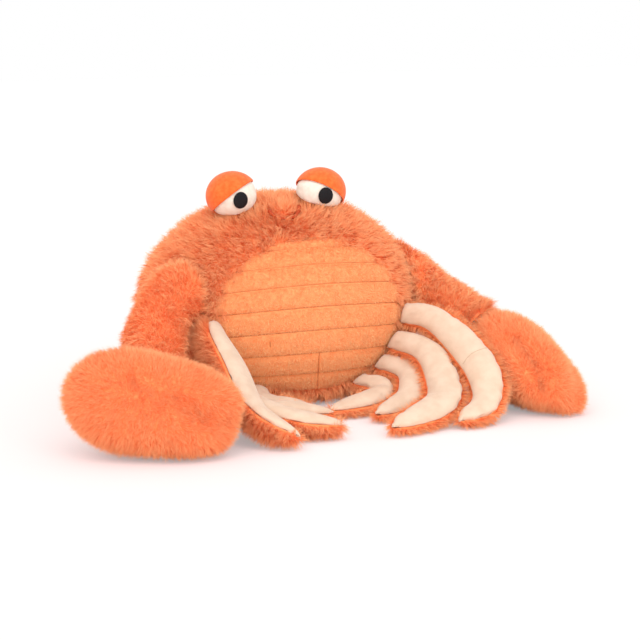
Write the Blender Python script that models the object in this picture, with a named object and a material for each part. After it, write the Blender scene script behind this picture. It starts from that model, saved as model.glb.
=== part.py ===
"""Plush crab: a stuffed toy that sits upright on a flat seat, with its claws and legs laid out in front.

Metres. X is the crab's width, -Y its front, +Z up, and the origin is the middle of the flat seat.
The body and the claws are rounded skins, each given by its reach from a centre in any direction.
Limbs are swept along smooth routes, and what touches a skin is laid on it with a seam's clearance.
"""
import math

import bmesh
import bpy
from mathutils import Matrix, Vector
from mathutils.geometry import interpolate_bezier

# Fabrics, seams and filling
FUR_THICKNESS = 0.0050         # long fur of the body with its pile
LIMB_FUR_THICKNESS = 0.0036    # softer, shorter fur of the arms and claws
LEG_FUR_THICKNESS = 0.0026     # fur on the outer side of a leg
SUEDE_THICKNESS = 0.0016       # cream lining of a leg
BELLY_THICKNESS = 0.0040       # short ribbed plush of the belly
SEAM_GAP = 0.0004              # between fabrics that are sewn edge to edge
FILL_GAP = 0.0008              # between a cover and the filling in it
LOOSE_GAP = 0.0018             # between the body's covers and what fills them
END_GAP = 0.0024               # dish in the end of a filling, over the skin that it meets
REST_GAP = 0.0007              # between a limb and the skin that it is sewn onto
SHARP_ANGLE = math.radians(50.0)       # edges sharper than this stay crisp in the shading

# Body
BODY_HALF_WIDTH = 0.0940
BODY_HALF_DEPTH = 0.0740
BODY_HALF_HEIGHT = 0.0745
BODY_CENTRE_HEIGHT = 0.0580
SEAT_BLEND = 0.0120            # how softly the flat seat turns up into the sides
POUCH_HEIGHT = 0.0200          # top of the bean pouch above the ground
BODY_ROWS = 13
BODY_COLUMNS = 40
BODY_BACK = Vector((0.0, 1.0, 0.12))   # where the cover's rings close
UNDERSIDE = -0.05              # a direction steeper than this can meet the ground
FILLING_ROWS = 12
FILLING_COLUMNS = 24

# Belly panel, as seen from the front, a share of the body's size
BELLY_HALF_WIDTH = 0.6915 * BODY_HALF_WIDTH
BELLY_HALF_HEIGHT = 0.7114 * BODY_HALF_HEIGHT
BELLY_SHIFT = 0.0350 * BODY_HALF_WIDTH     # the panel's middle from the body's
BELLY_ARCH = 0.0055            # rise of a rib's middle over its ends
BELLY_BULGE = 0.0030           # how far the middle stands out of the body's round
BELLY_EDGE_SINK = 0.0012       # how far the edge lies below the fur around it
RIB_COUNT = 9
RIB_DEPTH = 0.0018
TOP_GROOVE_ANGLE = math.radians(40.5)  # highest groove, over level, from the body's middle
RIB_ANGLE = math.radians(9.69)         # of the highest whole rib, from the body's middle
RIB_ANGLE_GROWTH = math.radians(0.54)  # how much wider each lower rib is than the one above it
ROWS_PER_RIB = 3
BELLY_COLUMNS = 16
BELLY_TOP = 0.985              # the first and last row, as a share of the half height
ARCH_ROUNDS = 6                # rounds that find where an arched groove starts

# Eyes, on a head that lolls a little to one side
FACE_SHIFT = -0.0067           # the face's middle line from the body's
EYE_SPREAD = 0.0299            # from the face's middle line to an eye's middle
EYE_FORWARD = -0.0180
EYE_OVER_CROWN = 0.0010        # eye's middle above the top of the head
EYE_HALF_WIDTH = 0.0155
EYE_HALF_DEPTH = 0.0140
EYE_HALF_HEIGHT = 0.0140
EYE_ROWS = 10
EYE_COLUMNS = 16
LID_THICKNESS = 0.0010
LID_GAP = 0.0006
LID_SLACK = 0.0002             # what a lid keeps over the white where both meet the head
LID_ROWS = 6
LID_COLUMNS = 18
LID_TILT = {"left": Vector((-0.51, 0.36, 0.78)), "right": Vector((0.515, 0.304, 0.859))}
PUPIL_HALF_WIDTH = 0.0044
PUPIL_HALF_HEIGHT = 0.0050
PUPIL_THICKNESS = 0.0008
PUPIL_INNER_RING = 0.5         # size of the ring inside a pupil's edge, as a share
PUPIL_SIDES = 14
PUPIL_FACING = {"left": Vector((0.03, -1.0, -0.10)), "right": Vector((-0.117, -0.993, -0.08))}

# Limbs are swept in this many fine steps, between route points joined by curves of this many
LIMB_STATIONS = 72
CURVE_STEPS = 12

# Arms: middle line from the shoulder to the wrist, and the radius along it
ARM_ROUTE = {
    "left": [(-0.050, -0.006, 0.076), (-0.079, -0.036, 0.074),
             (-0.106, -0.074, 0.060), (-0.122, -0.120, 0.034)],
    "right": [(0.048, 0.008, 0.088), (0.085, -0.014, 0.072),
              (0.108, -0.045, 0.052), (0.124, -0.088, 0.034)],
}
ARM_RADIUS = [0.0210, 0.0215, 0.0205, 0.0175, 0.0190, 0.0180, 0.0160]
ARM_RINGS = 8
ARM_SIDES = 12

# Claws: a palm and two pincers, each an ellipsoid in the claw's own frame (X to the tips, Z up)
CLAW_CENTRE = {
    "left": Vector((-0.1280, -0.1370, 0.0292)),
    "right": Vector((0.1312, -0.0965, 0.0252)),
}
CLAW_POINTS = {
    "left": Vector((0.90, -0.36, -0.22)),
    "right": Vector((0.14, -0.95, -0.28)),
}
CLAW_UPPER_SIDE = {
    "left": Vector((0.25, 0.20, 0.95)),
    "right": Vector((0.65, 0.385, -0.65)),
}
PALM_HALF = (0.0390, 0.0260, 0.0310)
PALM_BACK = 0.0150
UPPER_PINCER_HALF = (0.0440, 0.0240, 0.0220)
UPPER_PINCER_OFFSET = Vector((0.0090, 0.0, 0.0095))
LOWER_PINCER_HALF = (0.0440, 0.0240, 0.0215)
LOWER_PINCER_OFFSET = Vector((0.0070, 0.0, -0.0085))
PINCER_BLEND = 0.0020
CLAW_REST_BLEND = 0.0080       # how softly a claw's flat underside turns up
CLAW_ROWS = 12
CLAW_COLUMNS = 18
WRIST_OPENING = math.radians(22.0)     # half angle of the opening that the arm is sewn over

# Legs: outer, second, third and inner leg of each side, from inside the body to the tip, with x as a
# share of the body's half width
LEG_ROUTE = {
    "right_1": [(0.596, -0.0320, 0.0525), (0.869, -0.0635, 0.0537), (0.992, -0.1086, 0.0323),
                (0.932, -0.1318, 0.0129), (0.661, -0.1448, 0.0059)],
    "right_2": [(0.553, -0.0350, 0.0390), (0.759, -0.0748, 0.0358), (0.752, -0.1048, 0.0215),
                (0.606, -0.128, 0.0125), (0.176, -0.148, 0.0062)],
    "right_3": [(0.479, -0.0410, 0.0265), (0.648, -0.0727, 0.0221), (0.579, -0.0944, 0.0136),
                (0.448, -0.1035, 0.0091), (0.233, -0.1115, 0.0057)],
    "right_4": [(0.330, -0.0460, 0.0165), (0.471, -0.0708, 0.0133), (0.368, -0.0813, 0.0095),
                (0.207, -0.0859, 0.0075), (0.005, -0.0894, 0.0055)],
    "left_1": [(-0.575, -0.0320, 0.0500), (-0.718, -0.0720, 0.0540), (-0.713, -0.1020, 0.0415),
               (-0.681, -0.1330, 0.0210), (-0.468, -0.1560, 0.0074)],
    "left_2": [(-0.532, -0.035, 0.037), (-0.702, -0.070, 0.0345), (-0.643, -0.0972, 0.0217),
               (-0.434, -0.1238, 0.0129), (-0.102, -0.1395, 0.0085)],
    "left_3": [(-0.447, -0.040, 0.025), (-0.560, -0.0721, 0.0193), (-0.462, -0.0890, 0.0115),
               (-0.298, -0.0987, 0.0109), (-0.029, -0.1058, 0.0075)],
    "left_4": [(-0.298, -0.045, 0.016), (-0.376, -0.0645, 0.0122), (-0.338, -0.0765, 0.0097),
               (-0.223, -0.0815, 0.0082), (-0.103, -0.0825, 0.0073)],
}
LEG_FACING = {    # which way the cream lining looks, at the body and at the tip
    "right_1": ((-0.35, -0.75, 0.50), (-0.40, -0.50, 0.75)),
    "right_2": ((-0.35, -0.65, 0.65), (-0.15, -0.45, 0.88)),
    "right_3": ((-0.35, -0.60, 0.70), (-0.10, -0.32, 0.94)),
    "right_4": ((-0.30, -0.55, 0.75), (-0.10, -0.15, 0.98)),
    "left_1": ((0.66, -0.64, 0.35), (0.52, -0.14, 0.84)),
    "left_2": ((0.60, -0.45, 0.65), (0.28, -0.10, 0.95)),
    "left_3": ((0.45, -0.45, 0.75), (0.18, -0.10, 0.98)),
    "left_4": ((0.30, -0.55, 0.75), (0.10, -0.45, 0.90)),
}
LEG_SIZE = {"1": 1.0, "2": 0.99, "3": 0.82, "4": 0.72}    # inner legs are smaller
LEG_HALF_WIDTH = 0.0114
LEG_ROOT_SHARE = 0.58          # width at the body, as a share of the widest
LEG_KNEE = 0.58                # where a leg is widest, as a share of its length
LEG_LINING_CROWN = 0.0055      # how far the cream side stands up from the seam
LEG_BACK_CROWN = {"left": 0.0108, "right": 0.0088}    # how far the fur side stands out from the seam
LEG_BACK_FULLNESS = 0.52       # below 1, the fur side stays fuller than the lining towards the tip
LEG_RINGS = 8
LEG_LAST_RING = 0.93           # share of the length where the last ring lies
LEG_FILLING_END = 0.91
LEG_SHELL_DEPTH = 0.5          # deepest that a leg's fabric may take of its section, as a share
LEG_FILLING_DEPTH = 0.66       # and fabric and gap together
LEG_SIDES = 10

# Colours: red, green and blue as light, with roughness
MATERIALS = {
    "fur": ((0.90, 0.22, 0.07), 0.90),
    "limb_fur": ((0.94, 0.25, 0.09), 0.90),
    "belly_plush": ((0.92, 0.42, 0.18), 0.90),
    "cream_suede": ((0.86, 0.66, 0.46), 0.85),
    "eye_white": ((0.82, 0.72, 0.60), 0.80),
    "lid_felt": ((0.95, 0.19, 0.05), 0.85),
    "pupil_thread": ((0.010, 0.010, 0.012), 0.50),
    "fibre": ((0.85, 0.85, 0.83), 0.95),
    "pouch_cloth": ((0.70, 0.68, 0.62), 0.90),
}


def clear_scene():
    for item in list(bpy.data.objects):
        bpy.data.objects.remove(item, do_unlink=True)


def material(name):
    """The Principled material of one fabric."""
    if name in bpy.data.materials:
        return bpy.data.materials[name]
    colour, roughness = MATERIALS[name]
    made = bpy.data.materials.new(name)
    made.use_nodes = True
    shader = made.node_tree.nodes["Principled BSDF"]
    shader.inputs["Base Color"].default_value = (*colour, 1.0)
    shader.inputs["Roughness"].default_value = roughness
    shader.inputs["Metallic"].default_value = 0.0
    made.diffuse_color = (*colour, 1.0)
    return made


def add_object(name, mesh_data, fabric):
    """Puts a finished bmesh in the scene as one named piece, with its faces pointing out."""
    bmesh.ops.recalc_face_normals(mesh_data, faces=mesh_data.faces)
    mesh = bpy.data.meshes.new(name)
    mesh_data.to_mesh(mesh)
    mesh_data.free()
    mesh.materials.append(material(fabric))
    mesh.shade_smooth()
    mesh.set_sharp_from_angle(angle=SHARP_ANGLE)
    piece = bpy.data.objects.new(name, mesh)
    bpy.context.scene.collection.objects.link(piece)
    return piece


def loft(loops, start="cap", end="cap"):
    """Closed mesh through loops of equal length.

    An end is a cap, a single point, a strip between the loop's two halves, or joined to the other end.
    """
    data = bmesh.new()
    rings = [[data.verts.new(point) for point in loop] for loop in loops]
    count = len(rings[0])
    pairs = list(zip(rings, rings[1:]))
    if start == "joined":
        pairs.append((rings[-1], rings[0]))
    for low, high in pairs:
        for i in range(count):
            j = (i + 1) % count
            data.faces.new((low[i], low[j], high[j], high[i]))
    for ring, finish in ((rings[0], start), (rings[-1], end)):
        if finish == "cap":
            data.faces.new(ring)
        elif finish == "strip":
            for i in range(count // 2 - 1):
                data.faces.new((ring[i], ring[i + 1], ring[-i - 2], ring[-i - 1]))
        elif finish != "joined":
            tip = data.verts.new(finish)
            for i in range(count):
                data.faces.new((ring[i], ring[(i + 1) % count], tip))
    return data


def soft_min(first, second, blend):
    near = max(blend - abs(first - second), 0.0) / blend
    return min(first, second) - near * near * blend / 4


def soft_max(first, second, blend):
    return -soft_min(-first, -second, blend)


class Skin:
    """A rounded surface, given by its reach from a centre in any direction."""

    def __init__(self, centre, reach):
        self.centre = Vector(centre)
        self.reach = reach

    def at(self, direction, out=0.0):
        """The skin's point in a direction, moved out along it."""
        direction = direction.normalized()
        return self.centre + direction * (self.reach(direction) + out)

    def onto(self, point, out=0.0):
        """A point moved onto the skin, along the line from the centre."""
        return self.at(point - self.centre, out)

    def clear_of(self, point, out=0.0):
        """A point moved outside the skin, if it is not there already."""
        offset = point - self.centre
        return self.onto(point, out) if offset.length < self.reach(offset.normalized()) + out else point


def on_ground(reach, direction, height, blend):
    """Reach of a soft skin that lies flat where it meets the ground."""
    if direction.z >= UNDERSIDE:
        return reach
    return soft_min(reach, -height / direction.z, blend)


def body_reach(direction):
    axes = (BODY_HALF_WIDTH, BODY_HALF_DEPTH, BODY_HALF_HEIGHT)
    free = 1 / math.sqrt(sum((d / axis) ** 2 for d, axis in zip(direction, axes)))
    return on_ground(free, direction, BODY_CENTRE_HEIGHT, SEAT_BLEND)


BODY = Skin((0.0, 0.0, BODY_CENTRE_HEIGHT), body_reach)


def ring_round(pole, lean, count):
    """Unit directions that lean away from a pole by one angle, evenly round it."""
    across = pole.orthogonal().normalized()
    along = pole.cross(across)
    ring = []
    for i in range(count):
        turn = 2 * math.pi * i / count
        sideways = across * math.cos(turn) + along * math.sin(turn)
        ring.append(pole * math.cos(lean) + sideways * math.sin(lean))
    return ring


def belly_direction(x, z):
    """Direction from the body's middle to its front skin at x, z from the panel's middle."""
    x += BELLY_SHIFT
    left_over = 1 - (x / BODY_HALF_WIDTH) ** 2 - (z / BODY_HALF_HEIGHT) ** 2
    return Vector((x, -BODY_HALF_DEPTH * math.sqrt(left_over), z)).normalized()


def make_body_cover():
    """Fur shell around the body, open where the belly panel is sewn in."""
    back = BODY_BACK.normalized()
    outer = []
    inner = []
    for row in range(BODY_ROWS):
        share = row / BODY_ROWS
        directions = []
        for column in range(BODY_COLUMNS):
            turn = 2 * math.pi * column / BODY_COLUMNS
            edge = belly_direction(BELLY_HALF_WIDTH * math.cos(turn), BELLY_HALF_HEIGHT * math.sin(turn))
            directions.append(edge.slerp(back, share))
        outer.append([BODY.at(d) for d in directions])
        inner.append([BODY.at(d, -FUR_THICKNESS) for d in directions])
    loops = list(reversed(outer)) + inner
    cover = loft(loops, BODY.at(back), BODY.at(back, -FUR_THICKNESS))
    return add_object("body_cover", cover, "fur")


def rib_edges(half_height):
    """Rows between the ribs, from the lowest: heights as shares of the half height, ends included."""
    edges = [BELLY_TOP]
    angle = TOP_GROOVE_ANGLE
    for rib in range(RIB_COUNT - 1):
        height = BODY_HALF_HEIGHT * math.sin(angle)
        share = height / half_height
        for _ in range(ARCH_ROUNDS):
            share = (height - BELLY_ARCH * (1 - share * share)) / half_height
        edges.append(share)
        angle -= RIB_ANGLE + RIB_ANGLE_GROWTH * rib
    edges.append(-BELLY_TOP)
    return list(reversed(edges))


def make_belly_panel():
    """Ribbed panel that closes the front, with a groove between each two ribs."""
    half_width = BELLY_HALF_WIDTH - 2 * SEAM_GAP
    half_height = BELLY_HALF_HEIGHT - 2 * SEAM_GAP
    edges = rib_edges(half_height)
    rows = RIB_COUNT * ROWS_PER_RIB
    data = bmesh.new()
    sheets = {}
    for layer in ("outer", "inner"):
        sheets[layer] = []
        for row in range(rows + 1):
            rib = min(row // ROWS_PER_RIB, RIB_COUNT - 1)
            v = edges[rib] + (edges[rib + 1] - edges[rib]) * (row / ROWS_PER_RIB - rib)
            line = []
            for column in range(BELLY_COLUMNS + 1):
                u = 2 * column / BELLY_COLUMNS - 1
                x = half_width * u * math.sqrt(1 - v * v)
                z = half_height * v + BELLY_ARCH * (1 - u * u) * (1 - v * v)
                inward = (1 - u * u) * (1 - v * v)
                out = BELLY_BULGE * inward - BELLY_EDGE_SINK
                if layer == "inner":
                    out -= BELLY_THICKNESS
                elif row % ROWS_PER_RIB == 0:
                    out -= RIB_DEPTH
                line.append(data.verts.new(BODY.at(belly_direction(x, z), out)))
            sheets[layer].append(line)
    for sheet in sheets.values():
        for row in range(rows):
            for column in range(BELLY_COLUMNS):
                data.faces.new((sheet[row][column], sheet[row][column + 1],
                                sheet[row + 1][column + 1], sheet[row + 1][column]))
    edges = {}
    for layer, sheet in sheets.items():
        edges[layer] = (sheet[0] + [line[-1] for line in sheet[1:-1]]
                        + list(reversed(sheet[-1])) + [line[0] for line in reversed(sheet[1:-1])])
    count = len(edges["outer"])
    for i in range(count):
        j = (i + 1) % count
        data.faces.new((edges["outer"][i], edges["outer"][j], edges["inner"][j], edges["inner"][i]))
    return add_object("belly_panel", data, "belly_plush")


def slice_off(data, height, keep_above):
    """Cuts a closed mesh at a height and closes the cut."""
    everything = data.verts[:] + data.edges[:] + data.faces[:]
    bmesh.ops.bisect_plane(data, geom=everything, plane_co=(0, 0, height), plane_no=(0, 0, 1),
                           clear_inner=keep_above, clear_outer=not keep_above)
    bmesh.ops.holes_fill(data, edges=[edge for edge in data.edges if edge.is_boundary])


def body_inside():
    """Closed solid that fills the body behind its cover and its belly panel."""
    inset = -max(FUR_THICKNESS, BELLY_THICKNESS + BELLY_EDGE_SINK) - LOOSE_GAP
    up = Vector((0.0, 0.0, 1.0))
    loops = []
    for row in range(1, FILLING_ROWS):
        lean = math.pi * row / FILLING_ROWS
        loops.append([BODY.at(direction, inset) for direction in ring_round(up, lean, FILLING_COLUMNS)])
    return loft(loops, BODY.at(up, inset), BODY.at(-up, inset))


def make_body_inside():
    """Fibre filling above, and the pouch of beans that weights the seat below."""
    filling = body_inside()
    slice_off(filling, POUCH_HEIGHT + FILL_GAP, keep_above=True)
    add_object("body_filling", filling, "fibre")
    pouch = body_inside()
    slice_off(pouch, POUCH_HEIGHT, keep_above=False)
    add_object("bean_pouch", pouch, "pouch_cloth")


def eye_centre(side):
    spread = -EYE_SPREAD if side == "left" else EYE_SPREAD
    height = BODY_CENTRE_HEIGHT + BODY_HALF_HEIGHT + EYE_OVER_CROWN
    return Vector((FACE_SHIFT + spread, EYE_FORWARD, height))


def on_eye(centre, direction, out):
    """Point on the eye's round, moved out."""
    half = (EYE_HALF_WIDTH + out, EYE_HALF_DEPTH + out, EYE_HALF_HEIGHT + out)
    reach = 1 / math.sqrt(sum((d / h) ** 2 for d, h in zip(direction, half)))
    return centre + direction * reach


def make_eye(side):
    """White ball sewn on the head, a felt lid over part of it, and an embroidered pupil."""
    centre = eye_centre(side)
    make_eye_white(side, centre)
    make_lid(side, centre)
    make_pupil(side, centre)


def make_eye_white(side, centre):
    up = Vector((0.0, 0.0, 1.0))

    def point(direction):
        return BODY.clear_of(on_eye(centre, direction, 0.0), REST_GAP)

    loops = []
    for row in range(1, EYE_ROWS):
        lean = math.pi * row / EYE_ROWS
        loops.append([point(direction) for direction in ring_round(up, lean, EYE_COLUMNS)])
    add_object(f"eye_white_{side}", loft(loops, point(up), point(-up)), "eye_white")


def make_lid(side, centre):
    """Shell over the side of the eye that the lid's tilt points to."""
    pole = LID_TILT[side].normalized()
    layers = {}
    for layer, out in (("outer", LID_GAP + LID_THICKNESS), ("inner", LID_GAP)):
        rest = REST_GAP + LID_SLACK + (LID_GAP + LID_THICKNESS if layer == "outer" else 0.0)
        layers[layer] = []
        for row in range(1, LID_ROWS + 1):
            lean = math.pi / 2 * row / LID_ROWS
            layers[layer].append([BODY.clear_of(on_eye(centre, direction, out), rest)
                                  for direction in ring_round(pole, lean, LID_COLUMNS)])
    loops = layers["outer"] + list(reversed(layers["inner"]))
    lid = loft(loops, on_eye(centre, pole, LID_GAP + LID_THICKNESS), on_eye(centre, pole, LID_GAP))
    add_object(f"eye_lid_{side}", lid, "lid_felt")


def make_pupil(side, centre):
    """Thin oval patch that follows the eye's round."""
    facing = PUPIL_FACING[side].normalized()
    across = facing.cross(Vector((0, 0, 1))).normalized()
    up = across.cross(facing)
    back, front = LID_GAP, LID_GAP + PUPIL_THICKNESS
    loops = []
    for out, size in ((back, PUPIL_INNER_RING), (back, 1.0), (front, 1.0), (front, PUPIL_INNER_RING)):
        loop = []
        for i in range(PUPIL_SIDES):
            turn = 2 * math.pi * i / PUPIL_SIDES
            step = across * PUPIL_HALF_WIDTH * math.cos(turn) + up * PUPIL_HALF_HEIGHT * math.sin(turn)
            loop.append(on_eye(centre, (facing * EYE_HALF_DEPTH + step * size).normalized(), out))
        loops.append(loop)
    patch = loft(loops, on_eye(centre, facing, back), on_eye(centre, facing, front))
    add_object(f"pupil_{side}", patch, "pupil_thread")


def smooth_route(points, count):
    """Points at even steps along a smooth curve through the given ones."""
    knots = [Vector(point) for point in points]
    knots = [2 * knots[0] - knots[1]] + knots + [2 * knots[-1] - knots[-2]]
    fine = []
    for before, start, end, after in zip(knots, knots[1:], knots[2:], knots[3:]):
        handles = (start + (end - before) / 6, end - (after - start) / 6)
        fine += interpolate_bezier(start, *handles, end, CURVE_STEPS + 1)[:-1]
    fine.append(knots[-2])
    lengths = [0.0]
    for a, b in zip(fine, fine[1:]):
        lengths.append(lengths[-1] + (b - a).length)
    route = []
    for i in range(count):
        target = lengths[-1] * i / (count - 1)
        k = max(j for j in range(len(fine) - 1) if lengths[j] <= target + 1e-9)
        share = (target - lengths[k]) / (lengths[k + 1] - lengths[k])
        route.append(fine[k].lerp(fine[k + 1], min(share, 1.0)))
    return route


class Limb:
    """A swept limb: fine stations along a smooth route, each with its frame."""

    def __init__(self, points, facing):
        self.route = smooth_route(points, LIMB_STATIONS + 1)
        self.frames = []
        for i, centre in enumerate(self.route):
            ahead = self.route[min(i + 1, LIMB_STATIONS)] - self.route[max(i - 1, 0)]
            forward = ahead.normalized()
            wanted = facing(i / LIMB_STATIONS)
            up = (wanted - forward * wanted.dot(forward)).normalized()
            self.frames.append((centre, forward.cross(up), up))

    def share_past(self, line, skin, out, leaving=True):
        """Share of the length where a line along the limb leaves a skin, or where it enters it."""
        inside = [self.depth(point, skin) < out for point in line]
        if leaving:
            i = max((k for k, held in enumerate(inside) if held), default=0)
        else:
            i = next((k for k, held in enumerate(inside) if held), LIMB_STATIONS) - 1
        near, far = (self.depth(line[k], skin) - out for k in (i, i + 1))
        return (i + near / (near - far)) / LIMB_STATIONS

    @staticmethod
    def depth(point, skin):
        """How far a point stands out of a skin; less than nothing inside it."""
        offset = point - skin.centre
        return offset.length - skin.reach(offset.normalized())

    def line(self, place):
        """Points of one line along the limb; place gives its step across and up at a share of the length."""
        points = []
        for i, (centre, across, up) in enumerate(self.frames):
            sideways, upwards = place(i / LIMB_STATIONS)
            points.append(centre + across * sideways + up * upwards)
        return points

    def sample(self, line, share):
        """Point of a line at a share of the length."""
        place = min(max(share, 0.0), 1.0) * LIMB_STATIONS
        i = min(int(place), LIMB_STATIONS - 1)
        return line[i].lerp(line[i + 1], place - i)


def ellipsoid_exit(direction, centre, half):
    """How far a ray from the origin runs to leave an ellipsoid that holds the origin."""
    a = sum((d / h) ** 2 for d, h in zip(direction, half))
    b = -2 * sum(d * c / h ** 2 for d, c, h in zip(direction, centre, half))
    c = sum((m / h) ** 2 for m, h in zip(centre, half)) - 1
    return (-b + math.sqrt(b * b - 4 * a * c)) / (2 * a)


def claw_frame(side):
    """Columns: where a claw points, its flat side, and the side of its upper pincer."""
    forward = CLAW_POINTS[side].normalized()
    flat = CLAW_UPPER_SIDE[side].cross(forward).normalized()
    return Matrix((forward, flat, forward.cross(flat))).transposed()


def claw_skin(side):
    turn_back = claw_frame(side).transposed()

    def reach(direction):
        local = turn_back @ direction
        upper = ellipsoid_exit(local, UPPER_PINCER_OFFSET, UPPER_PINCER_HALF)
        lower = ellipsoid_exit(local, LOWER_PINCER_OFFSET, LOWER_PINCER_HALF)
        palm = ellipsoid_exit(local, Vector((-PALM_BACK, 0, 0)), PALM_HALF)
        free = soft_max(soft_max(upper, lower, PINCER_BLEND), palm, 4 * PINCER_BLEND)
        return on_ground(free, direction, CLAW_CENTRE[side].z, CLAW_REST_BLEND)

    return Skin(CLAW_CENTRE[side], reach)


def claw_loops(skin, pole, out):
    """Rings of a claw's skin from its wrist to the point opposite."""
    loops = []
    for row in range(CLAW_ROWS):
        lean = WRIST_OPENING + (math.pi - WRIST_OPENING) * row / CLAW_ROWS
        loops.append([skin.at(direction, out) for direction in ring_round(pole, lean, CLAW_COLUMNS)])
    return loops


def make_claw(side):
    """Fur cover, open at the wrist, and the filling in it."""
    skin = claw_skin(side)
    wrist = (Vector(ARM_ROUTE[side][-2]) - skin.centre).normalized()
    outer = claw_loops(skin, wrist, 0.0)
    inner = claw_loops(skin, wrist, -LIMB_FUR_THICKNESS)
    cover = loft(list(reversed(outer)) + inner, skin.at(-wrist), skin.at(-wrist, -LIMB_FUR_THICKNESS))
    add_object(f"claw_cover_{side}", cover, "limb_fur")
    inset = -LIMB_FUR_THICKNESS - FILL_GAP
    fibre = claw_loops(skin, wrist, inset)
    add_object(f"claw_filling_{side}", loft(fibre, skin.at(wrist, inset), skin.at(-wrist, inset)), "fibre")
    return skin


def spaced(values, share):
    """Value at a share of the way through an evenly spaced list, without corners."""
    place = min(max(share, 0.0), 1.0) * (len(values) - 1)
    i = min(int(place), len(values) - 2)
    ease = place - i
    ease = ease * ease * (3 - 2 * ease)
    return values[i] * (1 - ease) + values[i + 1] * ease


def make_arm(side, claw):
    """Tube of fur from the shoulder to the wrist, and the filling in it."""
    limb = Limb(ARM_ROUTE[side], lambda share: Vector((0, 0, 1)))

    def rings(depth):
        lines = []
        for k in range(ARM_SIDES):
            turn = 2 * math.pi * k / ARM_SIDES

            def place(share):
                radius = spaced(ARM_RADIUS, share) - depth
                return radius * math.cos(turn), radius * math.sin(turn)

            line = limb.line(place)
            start = limb.share_past(line, BODY, REST_GAP)
            step = (limb.share_past(line, claw, REST_GAP, leaving=False) - start) / ARM_RINGS
            lines.append([limb.sample(line, start + step * i) for i in range(ARM_RINGS + 1)])
        return [list(ring) for ring in zip(*lines)]

    cover = loft(rings(0.0) + list(reversed(rings(LIMB_FUR_THICKNESS))), "joined", "joined")
    add_object(f"arm_cover_{side}", cover, "limb_fur")
    fibre = rings(LIMB_FUR_THICKNESS + FILL_GAP)
    middle = limb.line(lambda share: (0.0, 0.0))
    start = limb.sample(middle, limb.share_past(middle, BODY, END_GAP))
    end = limb.sample(middle, limb.share_past(middle, claw, END_GAP, leaving=False))
    add_object(f"arm_filling_{side}", loft(fibre, start, end), "fibre")


def leg_shape(share, size, side):
    """Half width, lining crown and back crown of a leg at a share of its length, full at the knee."""
    swell = math.sin(math.pi / 2 * min(share / LEG_KNEE, 1.0)) ** 2
    taper = math.sqrt(max(1 - (max(share - LEG_KNEE, 0.0) / (1 - LEG_KNEE)) ** 2, 0.0))
    width = LEG_HALF_WIDTH * (LEG_ROOT_SHARE + (1 - LEG_ROOT_SHARE) * swell)
    back = LEG_BACK_CROWN[side] * taper ** LEG_BACK_FULLNESS
    return size * taper * width, size * taper * LEG_LINING_CROWN, size * back


def leg_place(size, side, angle, depth, deepest):
    """Where a line lies on a leg's section: its angle round the leg and its depth below the skin."""
    def place(share):
        width, lining, back = leg_shape(share, size, side)
        crown = lining if math.sin(angle) > 0 else back
        width *= 1 - min(depth / max(width, 1e-6), deepest)
        crown *= 1 - min(depth / max(crown, 1e-6), deepest)
        return width * math.cos(angle), crown * math.sin(angle)
    return place


def make_leg(name):
    """Outer fur half, cream lining half and the filling between them."""
    start_facing, end_facing = (Vector(facing) for facing in LEG_FACING[name])
    route = [(x * BODY_HALF_WIDTH, y, z) for x, y, z in LEG_ROUTE[name]]
    limb = Limb(route, lambda share: start_facing.lerp(end_facing, share))
    side, number = name.split("_")
    size = LEG_SIZE[number]
    steps = LEG_SIDES // 2

    def rings(places):
        lines = []
        for place in places:
            line = limb.line(place)
            start = limb.share_past(line, BODY, REST_GAP)
            step = (LEG_LAST_RING - start) / LEG_RINGS
            lines.append([limb.sample(line, start + step * i) for i in range(LEG_RINGS + 1)])
        return [list(ring) for ring in zip(*lines)]

    def half_shell(first_angle, depth):
        slit = 0.5 * SEAM_GAP / LEG_LINING_CROWN
        angles = [first_angle + slit + (math.pi - 2 * slit) * k / steps for k in range(steps + 1)]
        outer = [leg_place(size, side, angle, 0.0, 0.0) for angle in angles]
        inner = [leg_place(size, side, angle, depth, LEG_SHELL_DEPTH) for angle in reversed(angles)]
        return rings(outer + inner)

    tip, _, facing = limb.frames[-1]
    shift = facing * SEAM_GAP / 2
    lining = loft(half_shell(0.0, SUEDE_THICKNESS), "strip", tip + shift)
    add_object(f"leg_lining_{name}", lining, "cream_suede")
    back = loft(half_shell(math.pi, LEG_FUR_THICKNESS), "strip", tip - shift)
    add_object(f"leg_back_{name}", back, "limb_fur")

    places = []
    for k in range(LEG_SIDES):
        angle = 2 * math.pi * k / LEG_SIDES
        depth = SUEDE_THICKNESS if math.sin(angle) > 1e-6 else LEG_FUR_THICKNESS
        places.append(leg_place(size, side, angle, depth + FILL_GAP, LEG_FILLING_DEPTH))
    middle = limb.line(lambda share: (0.0, 0.0))
    start = limb.sample(middle, limb.share_past(middle, BODY, 2 * REST_GAP))
    end = limb.sample(middle, LEG_FILLING_END)
    add_object(f"leg_filling_{name}", loft(rings(places)[:-1], start, end), "fibre")


def main():
    clear_scene()
    make_body_cover()
    make_belly_panel()
    make_body_inside()
    for side in ("left", "right"):
        make_eye(side)
        claw = make_claw(side)
        make_arm(side, claw)
    for name in LEG_ROUTE:
        make_leg(name)


main()
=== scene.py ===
import math

import bmesh
import bpy
import numpy as np
from mathutils import Matrix, Vector, noise
from mathutils.bvhtree import BVHTree
from mathutils.kdtree import KDTree


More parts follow.
